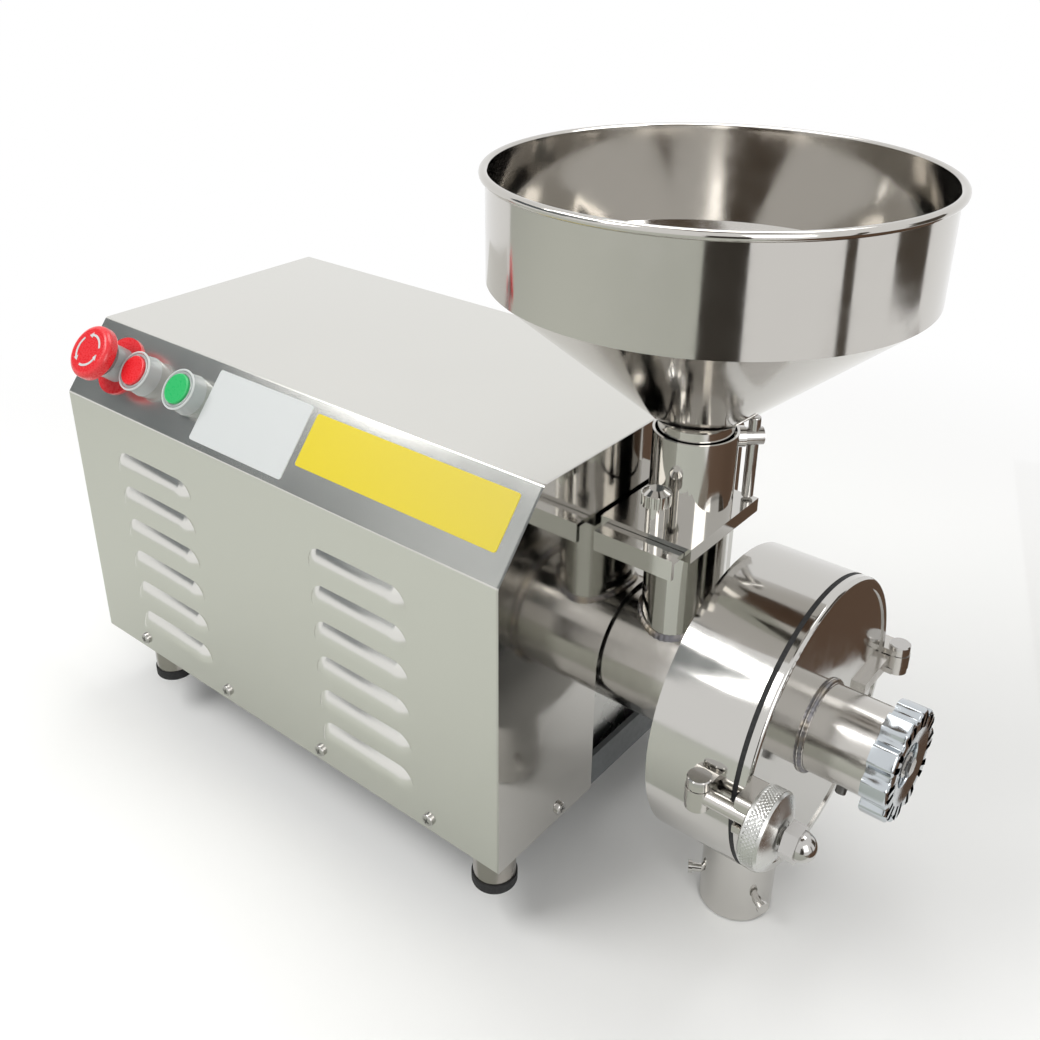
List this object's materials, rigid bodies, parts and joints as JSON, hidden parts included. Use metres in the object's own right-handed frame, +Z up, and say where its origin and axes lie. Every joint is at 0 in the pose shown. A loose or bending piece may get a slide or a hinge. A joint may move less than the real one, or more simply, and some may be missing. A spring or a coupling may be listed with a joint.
{
  "type": "stone mill",
  "caption": "Electric stone mill with a steel housing, round grinding drum, grain hopper with slide gate, adjusting handwheel and outlet spout below.",
  "frame": {"origin": "on the table top that the feet stand on, below the shaft axis, under the outer face of the housing's right end plate", "axes": "+X along the shaft towards the handwheel, +Z up, +Y away from the side with the controls"},
  "size_m": [0.628, 0.2888, 0.4755],
  "materials": {
    "brushed_sheet": "brushed stainless sheet, soft lengthwise grain",
    "mirror_steel": "mirror polished stainless steel",
    "satin_steel": "turned and satin polished stainless steel",
    "plated_steel": "bright plated fasteners",
    "chromed_casting": "chrome plated iron casting",
    "cast_aluminium": "polished cast aluminium",
    "grey_paint": "satin grey paint on welded steel",
    "motor_paint": "satin paint on cast iron",
    "bearing_steel": "ground steel",
    "black_rubber": "matt black rubber",
    "black_plastic": "matt black nylon",
    "red_plastic": "glossy red moulded plastic",
    "green_plastic": "glossy green moulded plastic",
    "clear_plastic": "clear moulded plastic",
    "grey_plastic": "grey moulded plastic",
    "grindstone": "dressed abrasive stone"
  },
  "bodies": {
    "mill": {"base_frame": "grey_paint", "housing_cover": "brushed_sheet", "end_plate_right": "mirror_steel", "end_plate_left": "brushed_sheet", "feet": "satin_steel", "foot_pads": "black_rubber", "housing_screws": "plated_steel", "cable_glands": "black_plastic", "bearing_seat": "cast_aluminium", "motor_housing": "motor_paint", "motor_end_bells": "motor_paint", "ball_bearings": "bearing_steel", "motor_fan_cowl": "motor_paint", "shaft_seal": "black_rubber", "shaft_tube": "mirror_steel", "feed_tube": "mirror_steel", "gate_guide": "mirror_steel", "hopper_collar": "mirror_steel", "grinding_drum": "mirror_steel", "drum_gasket": "black_rubber", "drum_cover": "mirror_steel", "cover_neck": "satin_steel", "neck_set_screw": "bearing_steel", "clamp_bracket": "satin_steel", "pivot_pins": "plated_steel", "cover_lug": "satin_steel", "hinge_bracket": "satin_steel", "hinge_leaf": "satin_steel", "outlet_spout": "mirror_steel", "estop_ring": "red_plastic", "estop_collar": "grey_plastic", "button_bezels": "clear_plastic"},
    "shaft": {"motor_rotor": "bearing_steel", "motor_fan": "black_plastic", "motor_shaft": "bearing_steel", "shaft_coupling": "bearing_steel", "mill_shaft": "bearing_steel", "feed_screw": "satin_steel", "stone_carrier": "satin_steel", "rotating_stone": "grindstone"},
    "adjuster": {"stone_holder": "cast_aluminium", "fixed_stone": "grindstone"},
    "handwheel": {"adjust_spindle": "satin_steel", "handwheel": "chromed_casting", "handwheel_bolt": "plated_steel"},
    "gate": {"slide_gate": "mirror_steel"},
    "gate_lock": {"gate_lock_screw": "mirror_steel"},
    "hopper": {"hopper_bowl": "mirror_steel", "hopper_cone": "mirror_steel", "hopper_spout": "mirror_steel"},
    "hopper_clamp": {"hopper_clamp_screw": "plated_steel", "hopper_clamp_bar": "plated_steel"},
    "estop_plunger": {"estop_plunger": "grey_plastic"},
    "estop_head": {"estop_head": "red_plastic"},
    "stop_button": {"stop_button": "red_plastic"},
    "start_button": {"start_button": "green_plastic"},
    "swing_bolt": {"swing_bolt": "satin_steel", "acorn_nut": "plated_steel"},
    "clamp_washer": {"clamp_washer": "plated_steel"},
    "hand_nut": {"hand_nut": "cast_aluminium"}
  },
  "joints": [
    {"name": "shaft_spin", "type": "hinge", "parent": "mill", "child": "shaft", "pos_m": [0, 0, 0.123], "axis": [1, 0, 0], "continuous": true},
    {"name": "stone_travel", "type": "slide", "parent": "mill", "child": "adjuster", "axis": [1, 0, 0], "range_m": [-0.00061, 0.00301]},
    {"name": "handwheel_turn", "type": "hinge", "parent": "adjuster", "child": "handwheel", "pos_m": [0.175, 0, 0.123], "axis": [1, 0, 0], "range_deg": [-108, 540]},
    {"name": "gate_slide", "type": "slide", "parent": "mill", "child": "gate", "axis": [0, -1, 0], "range_m": [0, 0.05]},
    {"name": "gate_lock_turn", "type": "hinge", "parent": "mill", "child": "gate_lock", "pos_m": [0.033, -0.04, 0.25], "axis": [0, 0, 1], "range_deg": [0, 360]},
    {"name": "hopper_lift", "type": "slide", "parent": "mill", "child": "hopper", "axis": [0, 0, 1], "range_m": [0, 0.06]},
    {"name": "hopper_clamp_turn", "type": "hinge", "parent": "mill", "child": "hopper_clamp", "pos_m": [0.033, 0, 0.285], "axis": [0.7071, 0.7071, 0], "range_deg": [-90, 90]},
    {"name": "estop_press", "type": "slide", "parent": "mill", "child": "estop_plunger", "axis": [0, 0.7682, -0.6402], "range_m": [0, 0.005], "stiffness_N_per_m": 600, "springref_m": -0.003},
    {"name": "estop_twist", "type": "hinge", "parent": "estop_plunger", "child": "estop_head", "pos_m": [-0.377, -0.12219, 0.26147], "axis": [0, -0.7682, 0.6402], "range_deg": [-45, 0], "stiffness_Nm_per_rad": 0.05},
    {"name": "stop_press", "type": "slide", "parent": "mill", "child": "stop_button", "axis": [0, 0.7682, -0.6402], "range_m": [0, 0.003], "stiffness_N_per_m": 400, "springref_m": -0.002},
    {"name": "start_press", "type": "slide", "parent": "mill", "child": "start_button", "axis": [0, 0.7682, -0.6402], "range_m": [0, 0.003], "stiffness_N_per_m": 400, "springref_m": -0.002},
    {"name": "bolt_swing", "type": "hinge", "parent": "mill", "child": "swing_bolt", "pos_m": [0.11, -0.103, 0.1305], "axis": [0, 0, -1], "range_deg": [0, 110]},
    {"name": "washer_travel", "type": "slide", "parent": "swing_bolt", "child": "clamp_washer", "axis": [1, 0, 0], "range_m": [0, 0.00201]},
    {"name": "nut_turn", "type": "hinge", "parent": "clamp_washer", "child": "hand_nut", "pos_m": [0.1456, -0.103, 0.1305], "axis": [1, 0, 0], "range_deg": [0, 480]}
  ],
  "couplings": [
    {"joint": "stone_travel", "follows": "handwheel_turn", "m_per_rad": 0.00031831},
    {"joint": "washer_travel", "follows": "nut_turn", "m_per_rad": 0.00023873}
  ]
}
